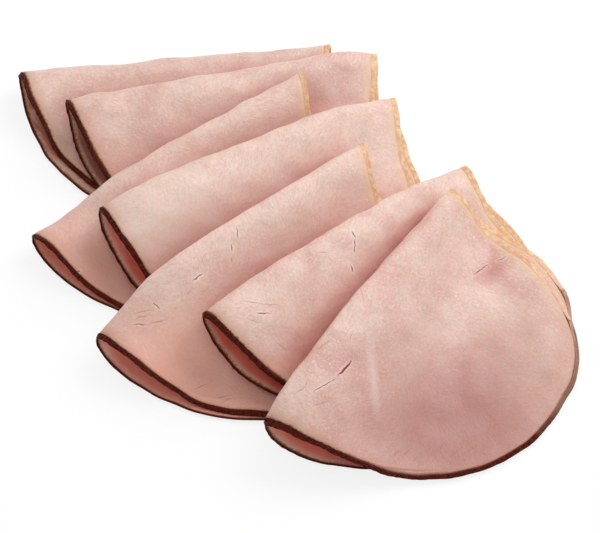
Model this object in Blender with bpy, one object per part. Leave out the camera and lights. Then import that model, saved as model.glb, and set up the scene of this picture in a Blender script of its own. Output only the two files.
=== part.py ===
"""Folded slices of smoked ham, laid on each other in a shingled fan.

A slice is one thin oval sheet of meat, folded once across its middle into a loose roll. Its lean, the
smoked rind along most of its edge and the fat along the rest of its edge are separate solids. The
slices are laid from the back of the fan to the front, and each one is draped over those under it.
"""

import math
from typing import NamedTuple

import bmesh
import bpy
import numpy as np

# A slice before it is folded, in metres. The width runs along the fold, the length across it.
SLICE_WIDTH = 0.157
SLICE_LENGTH = 0.197
SLICE_THICKNESS = 0.0016
RIND_SIDE_POWER = 2.0  # of the outline: 2 makes an ellipse, and more makes squarer corners
FAT_SIDE_POWER = 2.9
EGG_TAPER = 0.07  # share by which the far end of the upper leaf is narrower than the middle

# The edge of a slice. The rind leans in from the inner face to the outer face.
RIND_DEPTH = 0.0009
RIND_LEAN = 0.0012
FAT_DEPTH = 0.0026
FAT_FROM = math.radians(-55)  # angles on the outline, from the fat end of the fold to the upper leaf
FAT_TO = math.radians(48)  # the fat starts and ends at the facet corners nearest to these
EDGE_BLEND = math.radians(30)  # stretch of edge over which rind turns into fat

# The shape of a fold, as shares of the height of its roll.
ROLL_DEPTH = 0.8
ROLL_RUNOUT = 2.2
SWING_EASE = 0.015  # distance from the fold within which its leaves hardly swing
TUCK_REACH = 0.030  # distance from the fold over which its leaves are drawn in

# Clearances
SEAM = 0.0003  # between the lean and the band along its edge
LEAF_GAP = 0.0006  # between the two leaves of a slice
LAYER_GAP = 0.0006  # between a slice and what it lies on

# How a slice drapes over those under it.
DRAPE_RADIUS = 0.025  # tightest curve over a hump
DRAPE_BLUR = 0.005  # reach over which a hollow is rounded out

# Facets
COLUMNS = 12
ROWS = 24
ROW_CROWDING = 1.7  # above 1, rows are closer together at the fold
FACET_STEPS = 8  # points along a facet where its height is read
CELL = 0.002  # of the height map


class Fold(NamedTuple):
    """How a slice is folded and where it lies. x and y are the middle of its fold in plan. heading is the
    way the fold runs from its rind end to its fat end, in degrees. The roll has a height at each end. wider
    is how much wider the slice was cut than SLICE_WIDTH. lead is how far the upper leaf reaches past the
    lower one. A leaf's swing is how far it leans towards the fat end, as a share of the distance from the
    fold. tuck is how far both leaves are drawn in at their fat side."""

    x: float
    y: float
    heading: float
    rind_roll: float
    fat_roll: float
    wider: float
    lead: float
    upper_swing: float
    lower_swing: float
    tuck: float


# From the bottom of the pile, at the back, to the top, at the front.
FOLDS = (
    Fold(-0.063, 0.125, 8, 0.017, 0.009, 0.002, 0.000, 0.03, 0.01, 0.006),
    Fold(-0.038, 0.107, 16, 0.018, 0.009, 0.004, 0.000, -0.03, -0.03, 0.007),
    Fold(-0.064, 0.059, 34, 0.016, 0.009, 0.000, 0.002, 0.00, 0.05, 0.009),
    Fold(-0.024, 0.057, 30, 0.020, 0.009, 0.008, 0.000, -0.12, -0.12, 0.007),
    Fold(-0.032, 0.008, 39, 0.019, 0.009, 0.005, 0.000, 0.00, 0.04, 0.009),
    Fold(0.018, 0.007, 40, 0.021, 0.009, 0.006, 0.004, 0.02, 0.05, 0.005),
    Fold(0.028, -0.030, 55, 0.024, 0.008, -0.002, 0.012, 0.03, 0.13, 0.000),
)

COLOURS = {
    "lean": (0.70, 0.42, 0.38),
    "rind": (0.055, 0.017, 0.010),
    "fat": (0.80, 0.52, 0.30),
}
ROUGHNESS = {"lean": 0.45, "rind": 0.60, "fat": 0.40}


def smooth_step(share):
    share = np.clip(share, 0.0, 1.0)
    return share * share * (3.0 - 2.0 * share)


# The flat slice


def disc_of_square(u, v):
    """The angle and the reach on the slice of a point of the square from -1 to 1."""
    v = np.sign(v) * np.abs(v) ** ROW_CROWDING
    p = u * np.sqrt(1.0 - v * v / 2.0)
    q = v * np.sqrt(1.0 - u * u / 2.0)
    angle = np.arctan2(q * SLICE_LENGTH, p * SLICE_WIDTH)
    return angle, np.minimum(np.hypot(p, q), 1.0)


def corner_angles():
    """The angles of the lean's facet corners along its edge, rising from -pi to pi."""
    u = np.linspace(-1.0, 1.0, COLUMNS + 1)
    v = np.linspace(-1.0, 1.0, ROWS + 1)
    sides = [(u, -1.0 + 0.0 * u), (u, 1.0 + 0.0 * u), (-1.0 + 0.0 * v, v), (1.0 + 0.0 * v, v)]
    return np.unique(np.round(np.concatenate([disc_of_square(*side)[0] for side in sides]), 6))


def fat_ends():
    angles = corner_angles()
    return [angles[np.argmin(np.abs(angles - end))] for end in (FAT_FROM, FAT_TO)]


def fat_share(angle):
    """1 where the edge is fat, 0 where it is rind."""
    start, end = fat_ends()
    angle = (angle + math.pi) % (2.0 * math.pi) - math.pi
    rise = smooth_step((angle - start) / EDGE_BLEND + 0.5)
    fall = smooth_step((end - angle) / EDGE_BLEND + 0.5)
    return rise * fall


def band_depth(angle):
    return RIND_DEPTH + (FAT_DEPTH - RIND_DEPTH) * fat_share(angle)


def edge_set_back(angle, face):
    """How far the edge of the inner face, -1, or the outer face, 1, lies inside the outline."""
    return np.where(face > 0, RIND_LEAN * (1.0 - fat_share(angle)), 0.0)


def flat_point(angle, inset, reach=1.0):
    """The point of the flat slice at this angle, at a share of the way out to its outline less an inset."""
    across = np.abs(np.cos(angle)) / (SLICE_WIDTH / 2.0)
    along = np.abs(np.sin(angle)) / (SLICE_LENGTH / 2.0)
    power = np.where(np.cos(angle) > 0.0, FAT_SIDE_POWER, RIND_SIDE_POWER)
    outline = (across**power + along**power) ** (-1.0 / power)
    radius = reach * (outline - inset)
    x = radius * np.cos(angle)
    y = radius * np.sin(angle)
    return x * (1.0 - EGG_TAPER * y / (SLICE_LENGTH / 2.0)), y


def band_angles(start, end):
    """The angles at which a band along the edge has its facet corners: its two ends and the lean's own."""
    seam = SEAM / SLICE_WIDTH
    angles = np.concatenate([corner_angles(), corner_angles() + 2.0 * math.pi])
    apart = RIND_DEPTH / SLICE_LENGTH
    inside = np.unique(np.round(angles[(angles > start + apart) & (angles < end - apart)], 6))
    return np.concatenate([[start + seam], inside, [end - seam]])


# The folded slice


def folded(fold, x, y, lift):
    """Where a point of the flat slice lies beside its fold: how far in from the fold's front, and how high.
    lift is its height above the middle of the sheet, towards the outer face."""
    share = smooth_step(0.5 + x / SLICE_WIDTH)
    height = fold.rind_roll + (fold.fat_roll - fold.rind_roll) * share
    depth = ROLL_DEPTH * height
    quarter = math.pi / 2.0 * np.sqrt((depth**2 + (height / 2.0) ** 2) / 2.0)
    turn = math.pi / 2.0 * np.clip(y / quarter, -1.0, 1.0)
    beyond = np.maximum(np.abs(y) - quarter, 0.0)
    runout = ROLL_RUNOUT * height
    landed = SLICE_THICKNESS + LEAF_GAP
    fall = (height - landed) * smooth_step(beyond / runout) * (y > 0.0)
    inward = depth * (1.0 - np.cos(turn)) + beyond
    upward = height / 2.0 * (1.0 + np.sin(turn)) - fall
    slope_share = np.clip(beyond / runout, 0.0, 1.0)
    slope = (height - landed) / runout * 6.0 * slope_share * (1.0 - slope_share) * (y > 0.0)
    run = np.where(beyond > 0.0, np.sign(y), depth * np.sin(turn))
    rise = np.where(beyond > 0.0, -slope, height / 2.0 * np.cos(turn))
    length = np.hypot(run, rise)
    return (
        inward - lift * rise / length,
        upward + lift * run / length + SLICE_THICKNESS / 2.0,
    )


def plan_of(fold, along, inward):
    """The place in plan of a point along the fold and in from it."""
    heading = math.radians(fold.heading)
    x = fold.x + along * math.cos(heading) + inward * math.sin(heading)
    y = fold.y + along * math.sin(heading) - inward * math.cos(heading)
    return x, y


class Pile:
    """A height map of what has been laid so far, and the height at which the next slice lies."""

    def __init__(self):
        reach = max(math.hypot(fold.x, fold.y) for fold in FOLDS) + SLICE_LENGTH
        self.half = math.ceil(reach / CELL)
        self.top = np.full((2 * self.half + 1, 2 * self.half + 1), -LAYER_GAP)
        self.base = self.draped()

    def draped(self):
        """The height of a sheet laid on the pile: over humps in a wide curve, with rounded hollows, and
        nowhere under the pile."""
        over = self.top
        most = over.max() - over.min()
        cells = math.ceil(math.sqrt(2.0 * DRAPE_RADIUS * most) / CELL)
        for axis in (0, 1):
            drops = ((step, (step * CELL) ** 2 / (2.0 * DRAPE_RADIUS)) for step in range(-cells, cells + 1))
            over = np.max([np.roll(over, step, axis) - drop for step, drop in drops], axis=0)
        blur = math.ceil(DRAPE_BLUR / CELL)
        smooth = box_filter(np.mean, box_filter(np.mean, over, blur), blur)
        short = np.maximum(self.top - smooth, 0.0)
        return smooth + box_filter(np.mean, box_filter(np.max, short, blur), blur) + LAYER_GAP

    def cell_of(self, x, y):
        return x / CELL + self.half, y / CELL + self.half

    def height_at(self, x, y):
        """The base's height, read between the cells."""
        column, row = self.cell_of(x, y)
        left = np.floor(column).astype(int)
        under = np.floor(row).astype(int)
        s = column - left
        t = row - under
        near = self.base[under, left] * (1.0 - s) + self.base[under, left + 1] * s
        far = self.base[under + 1, left] * (1.0 - s) + self.base[under + 1, left + 1] * s
        return near * (1.0 - t) + far * t

    def lay(self, x, y, z):
        """Adds points of a slice to the map, and drapes the next sheet over them."""
        column, row = (np.round(place).astype(int) for place in self.cell_of(x, y))
        np.maximum.at(self.top, (row, column), z)
        self.base = self.draped()


def box_filter(take, field, reach):
    for axis in (0, 1):
        steps = range(-reach, reach + 1)
        field = take([np.roll(field, step, axis) for step in steps], axis=0)
    return field


def sheet_point(pile, fold, x, y, face):
    """A point of a folded and draped slice, in the slice's own frame: x along its fold, -y in from it."""
    tuck = fold.tuck * smooth_step(np.abs(y) / TUCK_REACH)
    swing = np.where(y > 0.0, fold.upper_swing, fold.lower_swing) * (np.hypot(y, SWING_EASE) - SWING_EASE)
    x = x * (1.0 + fold.wider / SLICE_WIDTH) - tuck * np.maximum(x, 0.0) / (SLICE_WIDTH / 2.0) + swing
    inward, height = folded(fold, x, y + fold.lead / 2.0, face * SLICE_THICKNESS / 2.0)
    height = height + pile.height_at(*plan_of(fold, x, inward))
    return np.stack([x, -inward, height], axis=-1)


def lean_point(pile, fold, u, v, face):
    angle, reach = disc_of_square(u, v)
    inset = edge_set_back(angle, face) + band_depth(angle) + SEAM
    return sheet_point(pile, fold, *flat_point(angle, inset, reach), face)


def whole_point(pile, fold, u, v, face):
    """As lean_point, out to the outline."""
    angle, reach = disc_of_square(u, v)
    return sheet_point(pile, fold, *flat_point(angle, edge_set_back(angle, face), reach), face)


def band_point(pile, fold, angles, u, v, face):
    """A point of the rind or the fat: u from one end to the other, v from the outline to the lean."""
    angle = angle_along(angles, u)
    inset = edge_set_back(angle, face) + band_depth(angle) * (v + 1.0) / 2.0
    return sheet_point(pile, fold, *flat_point(angle, inset), face)


def angle_along(angles, u):
    return angles[np.round((u + 1.0) / 2.0 * (len(angles) - 1)).astype(int)]


def lay_on(pile, fold):
    """Adds a slice to the pile's height map, with the flat facets that it is built with."""
    u, v = np.meshgrid(np.linspace(-1.0, 1.0, COLUMNS + 1), np.linspace(-1.0, 1.0, ROWS + 1))
    between_columns = between(COLUMNS)
    between_rows = between(ROWS)
    places = []
    for face in (-1.0, 1.0):
        corners = whole_point(pile, fold, u, v, face)
        fine = np.einsum("ar,rck,bc->abk", between_rows, corners, between_columns)
        x, y = plan_of(fold, fine[..., 0].ravel(), -fine[..., 1].ravel())
        places.append((x, y, fine[..., 2].ravel()))
    pile.lay(*(np.concatenate(values) for values in zip(*places)))


def between(count):
    """The weights of count + 1 points in the points along the straight lines between them."""
    places = np.linspace(0.0, count, count * FACET_STEPS + 1)
    return np.maximum(1.0 - np.abs(places[:, None] - np.arange(count + 1)), 0.0)


# Objects


def material(tissue):
    made = bpy.data.materials.new(tissue)
    made.use_nodes = True
    shader = made.node_tree.nodes["Principled BSDF"]
    shader.inputs["Base Color"].default_value = (*COLOURS[tissue], 1.0)
    shader.inputs["Roughness"].default_value = ROUGHNESS[tissue]
    shader.inputs["Metallic"].default_value = 0.0
    return made


def split_walls(sheet, outer, angle):
    """Cuts each face between the inner and the outer face in two, from the corner with the lower angle. Two
    walls that face each other across a seam are then cut the same way, so neither bulges into the other."""
    walls = [face for face in sheet.faces if 0 < len(outer.intersection(face.verts)) < 4]
    for wall in walls:
        low = [corner for corner in wall.verts if corner not in outer]
        first, second = (float(angle(corner.co.x, corner.co.y)) for corner in low)
        if (second - first) % (2.0 * math.pi) > math.pi:
            low.reverse()
        end = min(outer.intersection(wall.verts), key=lambda corner: (corner.co - low[1].co).length)
        bmesh.utils.face_split(wall, low[0], end)


def sheet_object(name, columns, rows, point, angle, surface):
    """A solid with an inner and an outer face, each a grid of columns and rows that point puts in place. angle
    is a grid point's angle on the slice."""
    sheet = bmesh.new()
    bmesh.ops.create_grid(sheet, x_segments=columns, y_segments=rows, size=1.0)
    inner = list(sheet.verts)
    copied = bmesh.ops.extrude_face_region(sheet, geom=list(sheet.faces), use_keep_orig=True)
    outer = [made for made in copied["geom"] if isinstance(made, bmesh.types.BMVert)]
    split_walls(sheet, set(outer), angle)
    for corners, face in ((inner, -1.0), (outer, 1.0)):
        square = np.array([corner.co for corner in corners])
        for corner, place in zip(corners, point(square[:, 0], square[:, 1], face)):
            corner.co = place
    bmesh.ops.recalc_face_normals(sheet, faces=sheet.faces)
    mesh = bpy.data.meshes.new(name)
    sheet.to_mesh(mesh)
    sheet.free()
    mesh.materials.append(surface)
    mesh.shade_smooth()
    mesh.set_sharp_from_angle(angle=math.radians(40))
    return bpy.data.objects.new(name, mesh)


def slice_objects(number, pile, fold, surfaces):
    """The lean, rind and fat of one slice, under an empty at the middle of its fold."""
    frame = bpy.data.objects.new(f"slice_{number}", None)
    frame.location = (fold.x, fold.y, 0.0)
    frame.rotation_euler = (0.0, 0.0, math.radians(fold.heading))
    lean = sheet_object(
        f"slice_{number}_lean",
        COLUMNS,
        ROWS,
        lambda u, v, face: lean_point(pile, fold, u, v, face),
        lambda u, v: disc_of_square(u, v)[0],
        surfaces["lean"],
    )
    made = [frame, lean]
    fat_start, fat_end = fat_ends()
    bands = {"rind": band_angles(fat_end, fat_start + 2.0 * math.pi), "fat": band_angles(fat_start, fat_end)}
    for tissue, angles in bands.items():
        band = sheet_object(
            f"slice_{number}_{tissue}",
            len(angles) - 1,
            1,
            lambda u, v, face: band_point(pile, fold, angles, u, v, face),
            lambda u, v: angle_along(angles, u),
            surfaces[tissue],
        )
        made.append(band)
    for piece in made[1:]:
        piece.parent = frame
    return made


def centre_on_origin(frame):
    """Moves the fan so that the middle of its box, in plan, stands on the origin."""
    bpy.context.view_layer.update()
    pieces = [piece for piece in frame.children_recursive if piece.type == "MESH"]
    corners = np.array([piece.matrix_world @ corner.co for piece in pieces for corner in piece.data.vertices])
    middle = (corners.min(axis=0) + corners.max(axis=0)) / 2.0
    frame.location = (-middle[0], -middle[1], 0.0)
    bpy.context.view_layer.update()


def main():
    for old in list(bpy.data.objects):
        bpy.data.objects.remove(old)
    collection = bpy.data.collections.new("ham_fan")
    bpy.context.scene.collection.children.link(collection)
    fan = bpy.data.objects.new("ham_fan_frame", None)
    collection.objects.link(fan)
    surfaces = {tissue: material(tissue) for tissue in COLOURS}
    pile = Pile()
    for number, fold in enumerate(FOLDS, 1):
        frame, *pieces = slice_objects(number, pile, fold, surfaces)
        frame.parent = fan
        for made in (frame, *pieces):
            collection.objects.link(made)
        lay_on(pile, fold)
    centre_on_origin(fan)


if __name__ == "__main__":
    main()
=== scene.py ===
import math
from functools import partial

import bmesh
import bpy
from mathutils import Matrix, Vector, noise
from mathutils.bvhtree import BVHTree


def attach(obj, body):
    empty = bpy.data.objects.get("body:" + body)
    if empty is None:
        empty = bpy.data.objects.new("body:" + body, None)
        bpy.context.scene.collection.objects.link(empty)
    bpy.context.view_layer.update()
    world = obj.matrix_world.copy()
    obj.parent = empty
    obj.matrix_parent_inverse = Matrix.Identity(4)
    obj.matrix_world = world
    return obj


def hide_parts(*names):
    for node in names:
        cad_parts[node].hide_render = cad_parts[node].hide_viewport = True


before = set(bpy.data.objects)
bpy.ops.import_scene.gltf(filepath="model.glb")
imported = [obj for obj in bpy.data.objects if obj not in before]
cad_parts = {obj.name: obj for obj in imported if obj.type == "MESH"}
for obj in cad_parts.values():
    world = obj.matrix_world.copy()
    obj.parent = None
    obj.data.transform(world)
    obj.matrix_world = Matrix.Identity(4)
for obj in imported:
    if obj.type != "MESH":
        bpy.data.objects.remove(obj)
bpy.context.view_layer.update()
bpy.context.scene.view_settings.view_transform = "Standard"

mm = 0.001


def linear(hexColour):
    # sRGB hex to the linear colour that Blender works in
    channels = [int(hexColour[i : i + 2], 16) / 255 for i in (1, 3, 5)]
    curve = [c / 12.92 if c <= 0.04045 else ((c + 0.055) / 1.055) ** 2.4 for c in channels]
    return (*curve, 1.0)


def patternScale(sizeMm):
    # texture scale that repeats about once in this many millimetres
    return 1.0 / (sizeMm * mm)


def setInputs(material, node, inputs):
    # an input takes a socket, a node, which gives its first output, or a plain value
    for name, value in inputs.items():
        if isinstance(value, bpy.types.Node):
            value = value.outputs[0]
        if isinstance(value, bpy.types.NodeSocket):
            material.node_tree.links.new(value, node.inputs[name])
        else:
            node.inputs[name].default_value = value


def addNode(material, kind, inputs=None, stops=None, **settings):
    node = material.node_tree.nodes.new(f"ShaderNode{kind}")
    for name, value in settings.items():
        setattr(node, name, value)
    setInputs(material, node, inputs or {})
    if stops:
        ramp = node.color_ramp.elements
        while len(ramp) < len(stops):
            ramp.new(1.0)
        for element, (place, colour) in zip(ramp, stops):
            element.position = place
            element.color = colour
    return node


def newMaterial(name):
    material = bpy.data.materials.new(name)
    material.use_nodes = True
    return material, material.node_tree.nodes["Principled BSDF"]


# The slices, from the back of the fan to the front. heading is the way that the fold runs, in degrees.
# paler shifts the tone of the muscle, and on slices 3, 4 and 5 is also painted light that lifts the shade
# of the next slice's fold. colours are a slice's own painted light and painted shade inside its fold. marks
# are the slits, lines and patches of a slice, and painted highlights, light and shade: kind, place in mm,
# turn in degrees, length and width in mm.
slices = {
    1: {
        "heading": 8,
        "widthMm": 159,
        "paler": 0.08,
        "marks": [],
        # painted light through the meat inside the fold, darkened as painted shade in this narrow loop
        "colours": {"inFold": "#b86a52", "inside": "#8c3a28"},
    },
    2: {
        "heading": 16,
        "widthMm": 161,
        "paler": 0.05,
        "marks": [],
        # painted light through the meat inside the fold, darkened as painted shade in this narrow loop
        "colours": {"inFold": "#985243", "inside": "#76302a"},
    },
    3: {
        "heading": 34,
        "widthMm": 157,
        "paler": 0.12,
        "marks": [
            # a peach-rose tone, partly painted light that lifts and warms the shade of the next slice's
            # fold
            ("peach", (-98.0, -5.0, 5.0), -43, 90.0, 46.0),
            ("slit", (-99.6, -17.2, 11.0), 9, 1.6, 0.8),
        ],
    },
    4: {
        "heading": 30,
        "widthMm": 165,
        "paler": 0.2,
        "marks": [
            # painted light that lifts the shade cast by slice 5's fold
            ("bright", (-60.0, -3.0, 34.0), 30, 96.0, 48.0),
        ],
    },
    5: {
        "heading": 39,
        "widthMm": 162,
        "paler": 0.24,
        "marks": [
            # a peach-rose tone, partly painted light that lifts and warms the shade of the next slice's
            # fold
            ("peach", (-46.0, -71.0, 11.0), -27, 130.0, 66.0),
            ("slit", (-23.9, -11.6, 36.0), -83, 7.5, 0.7),
            ("slit", (-26.5, -18.6, 34.0), -69, 3.6, 0.8),
            ("line", (-26.5, -23.8, 30.9), -81, 3.4, 0.7),
            ("slit", (-42.0, -34.3, 32.0), 43, 7.5, 0.7),
            ("line", (-45.8, -40.7, 29.7), 37, 4.0, 0.7),
            ("slit", (-60.8, -47.0, 29.1), -34, 4.8, 0.7),
            ("line", (-67.4, -49.3, 27.1), 8, 12.0, 0.7),
            ("line", (-67.5, -51.4, 25.9), 12, 11.0, 0.7),
            ("slit", (-68.6, -54.5, 24.1), 1, 7.5, 0.6),
            ("line", (-60.1, -53.4, 24.5), 12, 11.5, 0.7),
            ("line", (-39.1, -25.1, 35.9), 64, 5.4, 0.7),
            ("line", (-30.6, -82.0, 3.9), 13, 9.5, 0.7),
            ("line", (-40.3, -77.3, 5.7), 28, 11.0, 0.7),
            ("line", (-28.8, -83.8, 3.8), 25, 7.5, 0.7),
        ],
    },
    6: {
        "heading": 40,
        "widthMm": 163,
        "paler": 0.12,
        # painted light through the meat inside the fold, redder and brighter here
        "colours": {"inFold": "#d05f4b", "inside": "#c83e31"},
        "marks": [
            ("slit", (30.4, -10.4, 31.6), -67, 4.6, 1.1),
            ("slit", (30.8, -15.4, 30.2), -96, 8.5, 0.7),
            ("slit", (29.4, -26.3, 27.3), -58, 4.6, 0.9),
            ("line", (16.2, -22.4, 34.6), 11, 6.0, 0.7),
            ("line", (-8.1, -51.4, 35.9), 10, 11.5, 0.7),
            ("slit", (-11.2, -56.2, 35.3), 11, 8.6, 0.8),
            ("line", (-2.7, -67.2, 24.9), -27, 7.0, 0.8),
            ("line", (-15.6, -52.2, 38.6), 2, 11.5, 0.7),
            ("line", (-14.9, -60.2, 35.0), -1, 6.5, 0.7),
        ],
    },
    7: {
        "heading": 55,
        "widthMm": 155,
        "paler": 0.04,
        "marks": [
            # painted shade over the right of slice 7
            ("beige", (117.0, -62.0, 4.0), 66, 130.0, 76.0),
            # the rosier front of slice 7, with painted shade on the slope that faces away from the light
            ("blush", (76.0, -98.0, 8.0), 8, 150.0, 124.0),
            ("patch", (95.0, -16.7, 9.0), 38, 30.0, 17.0),
            ("slit", (91.2, -15.6, 9.2), 42, 12.0, 0.7),
            ("slit", (101.6, -8.8, 8.4), 32, 6.5, 0.7),
            # a painted highlight of moist sheen on slice 7
            ("streak", (38.0, -81.0, 27.0), -84, 84.0, 6.5),
            ("redSlit", (25.6, -83.2, 33.8), 52, 12.5, 1.2),
            ("slit", (16.2, -92.4, 33.9), 35, 16.0, 0.6),
            ("line", (33.5, -47.6, 37.6), -78, 9.0, 0.7),
            ("line", (28.4, -68.6, 36.9), -104, 6.5, 0.7),
            ("line", (15.5, -74.1, 38.6), 40, 10.5, 0.8),
            ("line", (5.7, -95.1, 35.1), 37, 6.0, 0.7),
            ("line", (8.1, -92.3, 35.8), 72, 5.0, 0.7),
            ("line", (14.4, -100.4, 31.5), 19, 9.5, 0.7),
            ("line", (48.8, -113.5, 8.4), 47, 8.0, 0.8),
            ("line", (53.3, -112.3, 6.8), 46, 8.5, 0.8),
            ("line", (57.1, -114.6, 5.1), 47, 7.5, 0.8),
            ("line", (65.7, -114.1, 4.0), 54, 6.5, 0.8),
            ("line", (69.2, -107.8, 4.3), 61, 5.5, 0.8),
            ("line", (75.7, -110.4, 4.0), 42, 10.0, 0.8),
            ("line", (83.0, -108.3, 3.9), 37, 8.0, 0.8),
        ],
    },
}

# Ham lean: cooked, brined muscle, cut by a blade. Pale pink with rosy muscles whose fibres run their own
# way, small pale flecks, a painted sheen on the fibres and a moist satin face. It is redder inside a fold,
# where the light that has come through the meat and the shade deep in the fold are painted in, darker
# where other slices lie over it, as painted shade, and tan where the smoke has reached in under the rind.
hamLean = {
    "colours": {
        "pale": "#efd0c2",
        "middle": "#e3bcb0",
        "rosy": "#d6a399",
        "blotch": "#d6a399",
        "fibre": "#c78f83",
        # a painted sheen along the fibres
        "paintedSheen": "#f6e4da",
        "fleck": "#f6e4da",
        # painted shade, a little rosy, where other slices lie over the meat, darkest along their contact
        "paintedCoverShade": "#db9f93",
        "paintedContactShade": "#c66e63",
        "tan": "#d3a083",
        "smoked": "#84492f",
        # painted light that has come through the meat, and painted shade deep inside a fold
        "inFold": "#dc6a54",
        "inside": "#dd4c3b",
        "fatTint": "#eec79c",
        "rim": "#fbece2",
        # the dark red of a slit is the meat's redder inside with painted shade in the crack
        "slit": "#a21c0c",
        "redSlit": "#840500",
        "line": "#b3766b",
        # a painted highlight of moist sheen
        "streak": "#f4e3da",
        "patch": "#c47c72",
        # a rosier tone with painted shade, for a slope facing away from the light
        "blush": "#b67d75",
        # painted shade, beige, for a slope that the lamp lights too brightly
        "beige": "#cfa595",
        # peach: a peach-rose tone, partly painted light that lifts and warms shade
        "peach": "#f0aa96",
        # painted light for a face shaded by the slice above
        "bright": "#fde0d2",
    },
    # where each tone stands in the pattern of the muscle
    "tones": {"rosy": 0.3, "middle": 0.47, "pale": 0.66},
    # real fibres are about 0.1 mm wide, and are drawn coarser so that they show
    "patterns": {
        "muscle": {"Scale": patternScale(30), "Detail": 3.0, "Roughness": 0.5, "Distortion": 0.6},
        "bundle": {"Scale": patternScale(36)},
        "fibre": {"Scale": patternScale(0.9), "Detail": 3.0, "Roughness": 0.65, "Distortion": 0.5},
        "blotch": {"Scale": patternScale(7), "Detail": 5.0, "Roughness": 0.6},
        "fleck": {"Scale": patternScale(1.1), "Detail": 2.0, "Roughness": 0.5},
        "wobble": {"Scale": patternScale(2.4), "Detail": 2.0},
    },
    "asideM": (0.31, 0.17, 0.0),  # moves the patterns on by this much from slice to slice
    "wanderMm": 14,  # how far the muscles bend the bundles of fibres
    "fibreStretch": 3.2,
    # value at which a colour starts, value at which it is full, and how much it then covers
    "shares": {
        "blotch": (0.45, 0.75, 0.34),
        "fibre": (0.44, 0.74, 0.4),
        "paintedSheen": (0.5, 0.26, 0.2),
        "fleck": (0.56, 0.74, 0.6),
        "paintedCoverShade": (0.04, 0.34, 0.55),
        "paintedContactShade": (0.3, 0.6, 0.62),
        "inFold": (0.03, 0.2, 0.9),
        "inside": (0.2, 0.75, 0.9),
    },
    # how far a colour reaches in from the edge and how ragged its front is, in mm, and how much it covers
    "fronts": {"tan": (6.0, 6.0, 0.8), "smoked": (0.9, 2.0, 0.95), "fatTint": (4.5, 6.0, 0.65)},
    "smokeFromFatMm": (5.0, 55.0),  # where the smoke starts and where it is full
    "wellUnder": (0.7, 0.9, 0.15),  # covers between which the painted contact shade fades, and what is left of it
    "layers": (
        "blotch",
        "fibre",
        "paintedSheen",
        "fleck",
        "paintedCoverShade",
        "paintedContactShade",
        "tan",
        "smoked",
        "inFold",
        "inside",
        "fatTint",
    ),
    "slits": ("slit", "redSlit"),  # the marks that are cut in
    "rimMm": 2.2,  # how much larger than its slit the pale lip is
    "markDepthMm": 12,
    "shakeMm": 1.6,  # how far the outline of a mark wobbles
    "fibreRelief": 0.7,
    "slitRelief": 0.7,
    "bump": 0.7,
    "bumpMm": 0.5,
    "wetFlecks": (0.3, 0.7),  # values of the flecks at the two ends of the roughness
    "roughness": (0.52, 0.36),
    "specular": 0.45,
    "scatter": 0.32,
    "scatterMm": 3.0,
    "scatterSpread": (1.0, 0.35, 0.22),
    "seamMm": 4.0,  # the scattering fades out this near a seam, where light would be lost
}
# how strongly each kind of mark covers the meat, and how soft its edge is
hamMarks = {
    "rim": (0.65, 0.8),
    "slit": (0.8, 0.5),
    "redSlit": (1.0, 0.45),
    "line": (0.66, 0.8),
    "streak": (0.36, 0.95),
    "patch": (0.6, 0.9),
    "blush": (0.85, 0.75),
    "beige": (0.6, 0.8),
    "peach": (0.68, 0.75),
    "bright": (0.42, 0.8),
}


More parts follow.
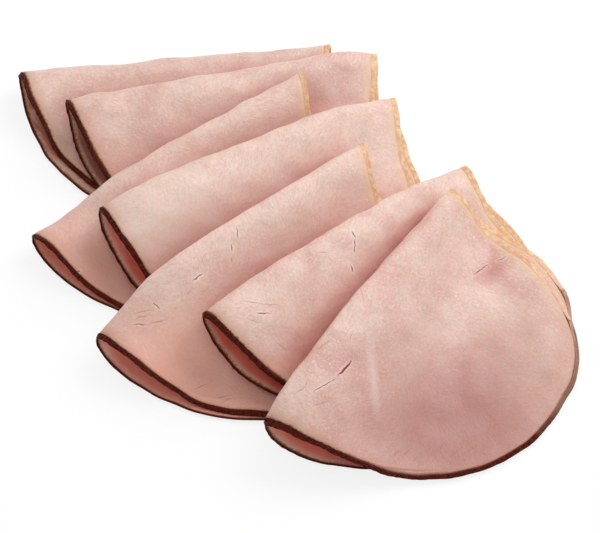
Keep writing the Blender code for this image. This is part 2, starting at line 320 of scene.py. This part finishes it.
def hamLeanMaterial(number, about):
    look = hamLean
    colours = {**look["colours"], **about.get("colours", {})}
    patterns = look["patterns"]
    material, shader = newMaterial(f"ham lean {number}")
    add = partial(addNode, material)
    place = add("TexCoord").outputs["Object"]
    aside = tuple(number * step for step in look["asideM"])
    turn = (0.0, 0.0, -math.radians(about["heading"]))
    own = add("Mapping", {"Vector": place, "Location": aside, "Rotation": turn})

    # muscles from pale to rosy, with blotches and small pale flecks
    muscle, blotch, fleck = (
        add("TexNoise", {"Vector": own, **patterns[name]}) for name in ("muscle", "blotch", "fleck")
    )
    tones = [(at - about["paler"], linear(colours[name])) for name, at in look["tones"].items()]
    muscleTone = add("ValToRGB", {"Fac": muscle}, stops=tones)

    # bundles of fibres, each turned its own way
    wanderM = look["wanderMm"] * mm
    wander = add("VectorMath", {0: muscle.outputs["Color"], "Scale": wanderM}, operation="SCALE")
    bent = add("VectorMath", {0: own, 1: wander}, operation="ADD")
    bundle = add("TexVoronoi", {"Vector": bent, **patterns["bundle"]})
    angle = add("Math", {0: bundle.outputs["Color"], 1: math.pi, 2: -math.pi / 2}, operation="MULTIPLY_ADD")
    turned = add("VectorRotate", {"Vector": own, "Angle": angle}, rotation_type="Z_AXIS")
    drawn = add("Mapping", {"Vector": turned, "Scale": (1.0, 1.0 / look["fibreStretch"], 1.0)})
    fibre = add("TexNoise", {"Vector": drawn, **patterns["fibre"]})

    # how much of each colour shows, by the patterns, and by what lies over a point, which gives the painted
    # shade under other slices and the painted light and shade inside the fold
    toRind, toFat, inFold, covered = (
        add("Attribute", attribute_name=name).outputs["Fac"]
        for name in ("toRind", "toFat", "inFold", "covered")
    )
    sources = {
        "blotch": blotch,
        "fibre": fibre,
        "paintedSheen": fibre,
        "fleck": fleck,
        "paintedCoverShade": covered,
        "paintedContactShade": covered,
        "inFold": inFold,
        "inside": inFold,
    }
    shares = {}
    for name, source in sources.items():
        start, full, most = look["shares"][name]
        shares[name] = add("MapRange", {0: source, 1: start, 2: full, 3: 0.0, 4: most})
    fade, faded, least = look["wellUnder"]
    wellUnder = add("MapRange", {0: covered, 1: fade, 2: faded, 3: 1.0, 4: least})
    shares["paintedContactShade"] = add("Math", {0: shares["paintedContactShade"], 1: wellUnder}, operation="MULTIPLY")

    # smoke that came in from the rind, and fat beside its strip, with ragged fronts
    fronts = {"tan": (toRind, blotch), "smoked": (toRind, fleck), "fatTint": (toFat, blotch)}
    for name, (distance, pattern) in fronts.items():
        reach, ragged, most = look["fronts"][name]
        shift = add("Math", {0: pattern, 1: ragged * mm, 2: -ragged / 2 * mm}, operation="MULTIPLY_ADD")
        front = add("Math", {0: distance, 1: shift}, operation="ADD")
        shares[name] = add("MapRange", {0: front, 1: 0.0, 2: reach * mm, 3: most, 4: 0.0})
    smokeStart, smokeFull = look["smokeFromFatMm"]
    fromFat = add("MapRange", {0: toFat, 1: smokeStart * mm, 2: smokeFull * mm, 3: 0.0, 4: 1.0})
    shares["smoked"] = add("Math", {0: shares["smoked"], 1: fromFat}, operation="MULTIPLY")
    layers = [(shares[name], name) for name in look["layers"]]

    # the marks of this slice, painted highlights, light and shade among them, with an unsteady outline and
    # a pale lip round each slit
    wobble = add("TexNoise", {"Vector": place, **patterns["wobble"]})
    shake = look["shakeMm"] * mm
    shaken = add("VectorMath", {0: wobble.outputs["Color"], "Scale": shake}, operation="SCALE")
    settled = add("VectorMath", {0: shaken, 1: (-shake / 2,) * 3}, operation="ADD")
    marked = add("VectorMath", {0: place, 1: settled}, operation="ADD")
    lips = [
        ("rim", spot, degrees, length + look["rimMm"], width + look["rimMm"])
        for kind, spot, degrees, length, width in about["marks"]
        if kind in look["slits"]
    ]
    cut = None
    for kind, spot, degrees, length, width in lips + about["marks"]:
        strength, softness = hamMarks[kind]
        depth = max(width / 2, look["markDepthMm"])
        box = add(
            "Mapping",
            {
                "Vector": marked,
                "Location": tuple(value * mm for value in spot),
                "Rotation": (0.0, 0.0, math.radians(degrees)),
                "Scale": (length / 2 * mm, width / 2 * mm, depth * mm),
            },
            vector_type="TEXTURE",
        )
        ball = add("TexGradient", {"Vector": box}, gradient_type="SPHERICAL")
        share = add("MapRange", {0: ball.outputs["Fac"], 1: 0.0, 2: softness, 3: 0.0, 4: strength})
        layers.append((share, kind))
        if kind in look["slits"]:
            cut = add("Math", {0: share, 1: cut or 0.0}, operation="MAXIMUM")
    colour = muscleTone
    for share, name in layers:
        colour = add("Mix", {0: share, 6: colour, 7: linear(colours[name])}, data_type="RGBA").outputs[2]

    # moist satin, with the fibres in slight relief and the slits cut in
    (dryFleck, wetFleck), (dry, wet) = look["wetFlecks"], look["roughness"]
    moist = add("MapRange", {0: fleck, 1: dryFleck, 2: wetFleck, 3: dry, 4: wet})
    height = add("Math", {0: fibre, 1: look["fibreRelief"], 2: blotch}, operation="MULTIPLY_ADD")
    if cut:
        height = add("Math", {0: cut, 1: -look["slitRelief"], 2: height}, operation="MULTIPLY_ADD")
    bump = add("Bump", {"Height": height, "Strength": look["bump"], "Distance": look["bumpMm"] * mm})
    toSeam = add("Math", {0: toRind, 1: toFat}, operation="MINIMUM")
    scatter = add("MapRange", {0: toSeam, 1: 0.0, 2: look["seamMm"] * mm, 3: 0.0, 4: look["scatter"]})
    finish = {
        "Base Color": colour,
        "Roughness": moist,
        "Normal": bump,
        "Specular IOR Level": look["specular"],
        "Subsurface Weight": scatter,
        "Subsurface Radius": look["scatterSpread"],
        "Subsurface Scale": look["scatterMm"] * mm,
    }
    setInputs(material, shader, finish)
    return material


# Smoked rind: dried by the smoke to a dark brown, grainy crust, with lighter crumbs, small glints where it
# is greasy, and a redder inner edge that runs into the meat.
smokedRind = {
    "colours": {
        "dark": "#330a03",
        "brown": "#5c1907",
        "crumb": "#8c4526",
        "inner": "#7d432d",
        "start": "#cb9f89",
    },
    "tones": {"dark": 0.38, "brown": 0.58, "crumb": 0.74},
    "grain": {"Scale": patternScale(1.0), "Detail": 5.0, "Roughness": 0.65},
    "drift": {"Scale": patternScale(9), "Detail": 3.0, "Roughness": 0.6},
    "raggedMm": 1.6,
    "innerMm": 0.55,
    "innerShare": 0.9,
    "startMm": 62,  # the rind gets thick and dark over this length
    "unevenMm": 50,
    "depthMm": (0.9, 1.7),  # depths in the rind between which its pale start fades
    "depthShares": (0.9, 0.15),
    "tipMm": (1.0, 9.0),  # the end beside the fat is pale all through
    "greasyGrain": (0.4, 0.66),  # values of the grain at the two ends of the roughness
    "roughness": (0.7, 0.25),
    "bump": 0.8,
    "bumpMm": 0.5,
    "specular": 0.1,
}


def smokedRindMaterial():
    look, colours = smokedRind, smokedRind["colours"]
    material, shader = newMaterial("smoked rind")
    add = partial(addNode, material)
    place = add("TexCoord").outputs["Object"]
    grain, drift = (add("TexNoise", {"Vector": place, **look[name]}) for name in ("grain", "drift"))
    toLean, toFat = (add("Attribute", attribute_name=name).outputs["Fac"] for name in ("toLean", "toFat"))
    tones = [(at, linear(colours[name])) for name, at in look["tones"].items()]
    tone = add("ValToRGB", {"Fac": grain}, stops=tones)

    # the redder inner edge
    ragged = look["raggedMm"] * mm
    shift = add("Math", {0: grain, 1: ragged, 2: -ragged / 2}, operation="MULTIPLY_ADD")
    reach = add("Math", {0: toLean, 1: shift}, operation="ADD")
    inner = add("MapRange", {0: reach, 1: 0.0, 2: look["innerMm"] * mm, 3: look["innerShare"], 4: 0.0})

    # the rind is thin and pale where it starts beside the fat
    uneven = look["unevenMm"] * mm
    shift = add("Math", {0: drift, 1: uneven, 2: -uneven / 2}, operation="MULTIPLY_ADD")
    fromFat = add("Math", {0: toFat, 1: shift}, operation="ADD")
    along = add("MapRange", {0: fromFat, 1: 0.0, 2: look["startMm"] * mm, 3: 1.0, 4: 0.0})
    (shallow, deep), (most, least) = look["depthMm"], look["depthShares"]
    inward = add("MapRange", {0: reach, 1: shallow * mm, 2: deep * mm, 3: most, 4: least})
    thinned = add("Math", {0: along, 1: inward}, operation="MULTIPLY")
    tipStart, tipEnd = look["tipMm"]
    tip = add("MapRange", {0: toFat, 1: tipStart * mm, 2: tipEnd * mm, 3: 1.0, 4: 0.0})
    start = add("Math", {0: thinned, 1: tip}, operation="MAXIMUM")
    colour = tone
    for share, name in ((inner, "inner"), (start, "start")):
        colour = add("Mix", {0: share, 6: colour, 7: linear(colours[name])}, data_type="RGBA").outputs[2]

    (dryGrain, greasyGrain), (dry, greasy) = look["greasyGrain"], look["roughness"]
    gloss = add("MapRange", {0: grain, 1: dryGrain, 2: greasyGrain, 3: dry, 4: greasy})
    bump = add("Bump", {"Height": grain, "Strength": look["bump"], "Distance": look["bumpMm"] * mm})
    finish = {
        "Base Color": colour,
        "Roughness": gloss,
        "Normal": bump,
        "Specular IOR Level": look["specular"],
    }
    setInputs(material, shader, finish)
    return material


# Ham fat: soft, slightly see-through, peach where the smoke has tinted it and pink where it runs into the
# meat and at its ends.
hamFat = {
    "colours": {"pale": "#eccb9c", "peach": "#dd9f74", "pink": "#dfb09d"},
    "tones": {"peach": 0.36, "pale": 0.62},
    "patch": {"Scale": patternScale(2.6), "Detail": 4.0, "Roughness": 0.6},
    "raggedMm": 4.0,
    "pinkMm": 1.5,
    "pinkShare": 0.8,
    "endMm": 14,
    "endShare": 0.9,
    "bump": 0.5,
    "bumpMm": 0.6,
    "roughness": 0.4,
    "specular": 0.45,
    "scatter": 0.35,
    "scatterMm": 3.0,
    "scatterSpread": (1.0, 0.6, 0.35),
    "seamMm": 2.0,
}


def hamFatMaterial():
    look, colours = hamFat, hamFat["colours"]
    material, shader = newMaterial("ham fat")
    add = partial(addNode, material)
    place = add("TexCoord").outputs["Object"]
    patch = add("TexNoise", {"Vector": place, **look["patch"]})
    toLean, toRind = (add("Attribute", attribute_name=name).outputs["Fac"] for name in ("toLean", "toRind"))
    tones = [(at, linear(colours[name])) for name, at in look["tones"].items()]
    colour = add("ValToRGB", {"Fac": patch}, stops=tones)
    ragged = look["raggedMm"] * mm
    shift = add("Math", {0: patch, 1: ragged, 2: -ragged / 2}, operation="MULTIPLY_ADD")
    reach = add("Math", {0: toLean, 1: shift}, operation="ADD")
    side = add("MapRange", {0: reach, 1: 0.0, 2: look["pinkMm"] * mm, 3: look["pinkShare"], 4: 0.0})
    end = add("MapRange", {0: toRind, 1: 0.0, 2: look["endMm"] * mm, 3: look["endShare"], 4: 0.0})
    for share in (side, end):
        colour = add("Mix", {0: share, 6: colour, 7: linear(colours["pink"])}, data_type="RGBA").outputs[2]
    bump = add("Bump", {"Height": patch, "Strength": look["bump"], "Distance": look["bumpMm"] * mm})
    scatter = add("MapRange", {0: toLean, 1: 0.0, 2: look["seamMm"] * mm, 3: 0.0, 4: look["scatter"]})
    finish = {
        "Base Color": colour,
        "Roughness": look["roughness"],
        "Normal": bump,
        "Specular IOR Level": look["specular"],
        "Subsurface Weight": scatter,
        "Subsurface Radius": look["scatterSpread"],
        "Subsurface Scale": look["scatterMm"] * mm,
    }
    setInputs(material, shader, finish)
    return material


# The tissue of a slice, made from its CAD solid: facets turned back to quads, corners kept sharp, and the
# faces rounded by subdivision.
tissue = {
    "levels": {"lean": 2, "rind": 3, "fat": 3},
    "pileLevel": 1,  # the lean is rounded this far before the feelers run, and by its levels after
    "mergeMm": 0.01,
    "quadDegrees": 50,
    "quadShapeDegrees": 60,
    "sharpDegrees": 50,
    "seamMm": 0.42,  # a band this near the lean is drawn right up to it
    "stretchMm": 0.9,  # and what is further off than this stays
    "touchMm": 0.01,
    "foldReachMm": 40,  # how far the feelers reach that find out what is shut in
    "feelers": {0: 1, 35: 5, 62: 7},  # tilt from upright in degrees, and how many feelers have it
    "feelerStartMm": 0.3,
    "feelerFade": 0.5,  # a hit at full reach counts less by this share
}


def selectOnly(piece):
    bpy.ops.object.select_all(action="DESELECT")
    piece.select_set(True)
    bpy.context.view_layer.objects.active = piece


def tissuePiece(name, node):
    piece = node.copy()
    piece.data = node.data.copy()
    piece.name = name
    piece.parent = None
    for key in list(piece.keys()):
        del piece[key]
    bpy.context.scene.collection.objects.link(piece)
    selectOnly(piece)
    bpy.ops.object.mode_set(mode="EDIT")
    bpy.ops.mesh.select_all(action="SELECT")
    bpy.ops.mesh.remove_doubles(threshold=tissue["mergeMm"] * mm)
    bpy.ops.mesh.tris_convert_to_quads(
        face_threshold=math.radians(tissue["quadDegrees"]),
        shape_threshold=math.radians(tissue["quadShapeDegrees"]),
    )
    bpy.ops.mesh.select_all(action="DESELECT")
    bpy.ops.mesh.select_mode(type="EDGE")
    bpy.ops.mesh.edges_select_sharp(sharpness=math.radians(tissue["sharpDegrees"]))
    bpy.ops.transform.edge_crease(value=1.0)
    bpy.ops.object.mode_set(mode="OBJECT")
    piece.data.materials.clear()
    return piece


def roundOff(piece, levels):
    selectOnly(piece)
    rounding = piece.modifiers.new("rounding", "SUBSURF")
    rounding.levels = levels
    rounding.render_levels = levels
    bpy.ops.object.modifier_apply(modifier=rounding.name)


def surfaceOf(*pieces):
    mesh = bmesh.new()
    for piece in pieces:
        mesh.from_mesh(piece.data)
    tree = BVHTree.FromBMesh(mesh)
    mesh.free()
    return tree


def distancesTo(surface, piece):
    return [surface.find_nearest(corner.co)[3] for corner in piece.data.vertices]


def setAttribute(piece, name, values):
    layer = piece.data.attributes.new(name, "FLOAT", "POINT")
    layer.data.foreach_set("value", values)


def closeSeam(band, leanSurface):
    # the side of the band is stretched over to the lean, which it grows into on a real slice
    seam, stretch, touch = (tissue[name] * mm for name in ("seamMm", "stretchMm", "touchMm"))
    distances = []
    for corner in band.data.vertices:
        nearest, _, _, distance = leanSurface.find_nearest(corner.co)
        if distance < stretch:
            share = max(distance - seam, 0.0) / (stretch - seam)
            closer = min(touch + share * (stretch - touch), distance)
            corner.co = nearest.lerp(corner.co, closer / max(distance, touch))
            distance = closer
        distances.append(distance)
    return distances


def closedShares(piece, number, pile, owners):
    # how far a point is shut in by its own slice, and by the whole pile: 0 in the open, 1 deep in a fold.
    # These set where light and shade are painted inside the fold and under other slices.
    reach = tissue["foldReachMm"] * mm
    feelers = []
    for tilt, turns in tissue["feelers"].items():
        up, out = math.cos(math.radians(tilt)), math.sin(math.radians(tilt))
        angles = [2.0 * math.pi * turn / turns for turn in range(turns)]
        feelers += [(up, out * math.cos(angle), out * math.sin(angle)) for angle in angles]
    inFold, covered = [], []
    for corner in piece.data.vertices:
        normal = corner.normal
        start = corner.co + normal * tissue["feelerStartMm"] * mm
        across = normal.orthogonal().normalized()
        along = normal.cross(across)
        own, whole = 0.0, 0.0
        for up, side, ahead in feelers:
            way = normal * up + across * side + along * ahead
            face, distance = pile.ray_cast(start, way, reach)[2:]
            if face is not None:
                near = 1.0 - tissue["feelerFade"] * distance / reach
                whole += near
                own += near if owners[face] == number else 0.0
        inFold.append(own / len(feelers))
        covered.append(whole / len(feelers))
    setAttribute(piece, "inFold", inFold)
    setAttribute(piece, "covered", covered)


# How the finished tissue departs from the smooth sheet. The drift moves the whole pile, by place alone, so
# that what lies together stays together. The lumps stand on one tissue each, and fade out towards its
# neighbour. Near the floor the lumps and the drift up and down fade out.
relief = {
    "driftMm": 1.3,
    "driftLengthMm": 34,
    "rippleShare": 0.5,
    "rippleFiner": 2.7,
    "edgeMm": 0.8,
    "edgeLengthMm": 13,
    "edgeApart": (7.0, 3.0, 0.0),  # sets the sideways drift in y apart from that in x
    "floorMm": 1.0,
    "floorFadeMm": 4.0,
    "lean": {"lumpMm": 0.24, "lumpLengthMm": 8, "fadeMm": 4.0},
    "rind": {"lumpMm": 0.5, "lumpLengthMm": 2.4, "fadeMm": 0.9},
    "fat": {"lumpMm": 0.45, "lumpLengthMm": 4.5, "fadeMm": 1.6},
}


def shapeRelief(piece, part, toNeighbour):
    lump = relief[part]
    moves = []
    for corner, gap in zip(piece.data.vertices, toNeighbour):
        slow = corner.co / (relief["driftLengthMm"] * mm)
        slow.z = 0.0
        lift = noise.noise(slow) + relief["rippleShare"] * noise.noise(slow * relief["rippleFiner"])
        height = max(corner.co.z - relief["floorMm"] * mm, 0.0)
        offFloor = min(height / (relief["floorFadeMm"] * mm), 1.0)
        quick = corner.co / (relief["edgeLengthMm"] * mm)
        side = Vector((noise.noise(quick), noise.noise(quick + Vector(relief["edgeApart"])), 0.0))
        fine = noise.noise(corner.co / (lump["lumpLengthMm"] * mm))
        fade = min(gap / (lump["fadeMm"] * mm), 1.0) * offFloor
        move = side * relief["edgeMm"] * mm + corner.normal * fine * fade * lump["lumpMm"] * mm
        move.z += lift * offFloor * relief["driftMm"] * mm
        moves.append(move)
    for corner, move in zip(piece.data.vertices, moves):
        corner.co += move


rindMaterial = smokedRindMaterial()
fatMaterial = hamFatMaterial()
tissues = {}
for number in slices:
    for part in tissue["levels"]:
        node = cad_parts[f"slice_{number}_{part}"]
        tissues[number, part] = tissuePiece(f"ham_slice_{number}_{part}", node)
leans = {number: tissues[number, "lean"] for number in slices}
for lean in leans.values():
    roundOff(lean, tissue["pileLevel"])
pile = surfaceOf(*leans.values())
owners = [number for number, lean in leans.items() for face in lean.data.polygons]
for number, lean in leans.items():
    closedShares(lean, number, pile, owners)
print("pile of", len(tissues), "tissues laid out, and what is shut in found")

for number, about in slices.items():
    for part, levels in tissue["levels"].items():
        roundOff(tissues[number, part], levels)
    lean, rind, fat = (tissues[number, part] for part in tissue["levels"])
    leanSurface = surfaceOf(lean)
    gaps = {"lean": [math.inf] * len(lean.data.vertices)}
    for part, band in (("rind", rind), ("fat", fat)):
        gaps[part] = closeSeam(band, leanSurface)
        setAttribute(band, "toLean", gaps[part])
        toBand = distancesTo(surfaceOf(band), lean)
        setAttribute(lean, f"to{part.title()}", toBand)
        gaps["lean"] = [min(pair) for pair in zip(gaps["lean"], toBand)]
    setAttribute(rind, "toFat", distancesTo(surfaceOf(fat), rind))
    setAttribute(fat, "toRind", distancesTo(surfaceOf(rind), fat))
    materials = {"lean": hamLeanMaterial(number, about), "rind": rindMaterial, "fat": fatMaterial}
    for part, piece in (("lean", lean), ("rind", rind), ("fat", fat)):
        shapeRelief(piece, part, gaps[part])
        piece.data.materials.append(materials[part])
        selectOnly(piece)
        bpy.ops.object.shade_smooth_by_angle(angle=math.radians(tissue["sharpDegrees"]))
        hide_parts(f"slice_{number}_{part}")
        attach(piece, f"slice_{number}")
    print("slice", number, "made with", len(lean.data.polygons), "faces of lean")


# A white floor that shows the object's shadow faintly, as in a high-key studio.
studio = {
    "floorSize": 6.0,
    "floorDropMm": 0.2,
    "floorGlow": 0.8,
    "floorShade": 0.22,
    "floorColour": 0.93,
    "worldLevel": 0.68,
}


def floorMaterial():
    material, shader = newMaterial("white floor")
    add = partial(addNode, material)
    nodes = material.node_tree.nodes
    nodes.remove(shader)
    bounce = add("BsdfDiffuse", {"Color": (studio["floorColour"],) * 3 + (1.0,)})
    shade = add("BsdfDiffuse", {"Color": (studio["floorShade"],) * 3 + (1.0,)})
    glow = add("Emission", {"Strength": studio["floorGlow"]})
    shown = add("AddShader", {0: shade, 1: glow})
    seen = add("LightPath").outputs["Is Camera Ray"]
    surface = add("MixShader", {0: seen, 1: bounce, 2: shown})
    setInputs(material, nodes["Material Output"], {"Surface": surface})
    return material


bpy.ops.object.select_all(action="DESELECT")
bpy.ops.mesh.primitive_plane_add(size=studio["floorSize"], location=(0.0, 0.0, -studio["floorDropMm"] * mm))
floor = bpy.context.object
floor.name = "floor"
floor.data.materials.append(floorMaterial())

world = bpy.data.worlds.new("studio")
bpy.context.scene.world = world
world.use_nodes = True
sky = world.node_tree.nodes["Background"]
sky.inputs["Color"].default_value = (1.0, 1.0, 1.0, 1.0)
sky.inputs["Strength"].default_value = studio["worldLevel"]

# one broad soft lamp overhead, a little behind and to the right
keyLamp = {"place": (0.68, 0.48, 0.92), "size": 0.8, "watts": 7.2}
bpy.ops.object.light_add(type="AREA", location=keyLamp["place"])
key = bpy.context.object
key.data.shape = "DISK"
key.data.size = keyLamp["size"]
key.data.energy = keyLamp["watts"]
key.rotation_euler = (-Vector(keyLamp["place"])).to_track_quat("-Z", "Y").to_euler()

# The photograph's view: from the front, looking well down, with a long lens.
photoView = {"aimMm": (5.3, -12.7, 8), "elevation": 57, "distance": 1.0, "lens": 126, "sensor": 36}
down = math.radians(photoView["elevation"])
aim = Vector(tuple(value * mm for value in photoView["aimMm"]))
away = Vector((0.0, -math.cos(down), math.sin(down))) * photoView["distance"]
bpy.ops.object.camera_add(location=aim + away)
camera = bpy.context.object
camera.rotation_euler = (math.pi / 2 - down, 0.0, 0.0)
camera.data.lens = photoView["lens"]
camera.data.sensor_width = photoView["sensor"]
bpy.context.scene.camera = camera
print("studio and camera set")
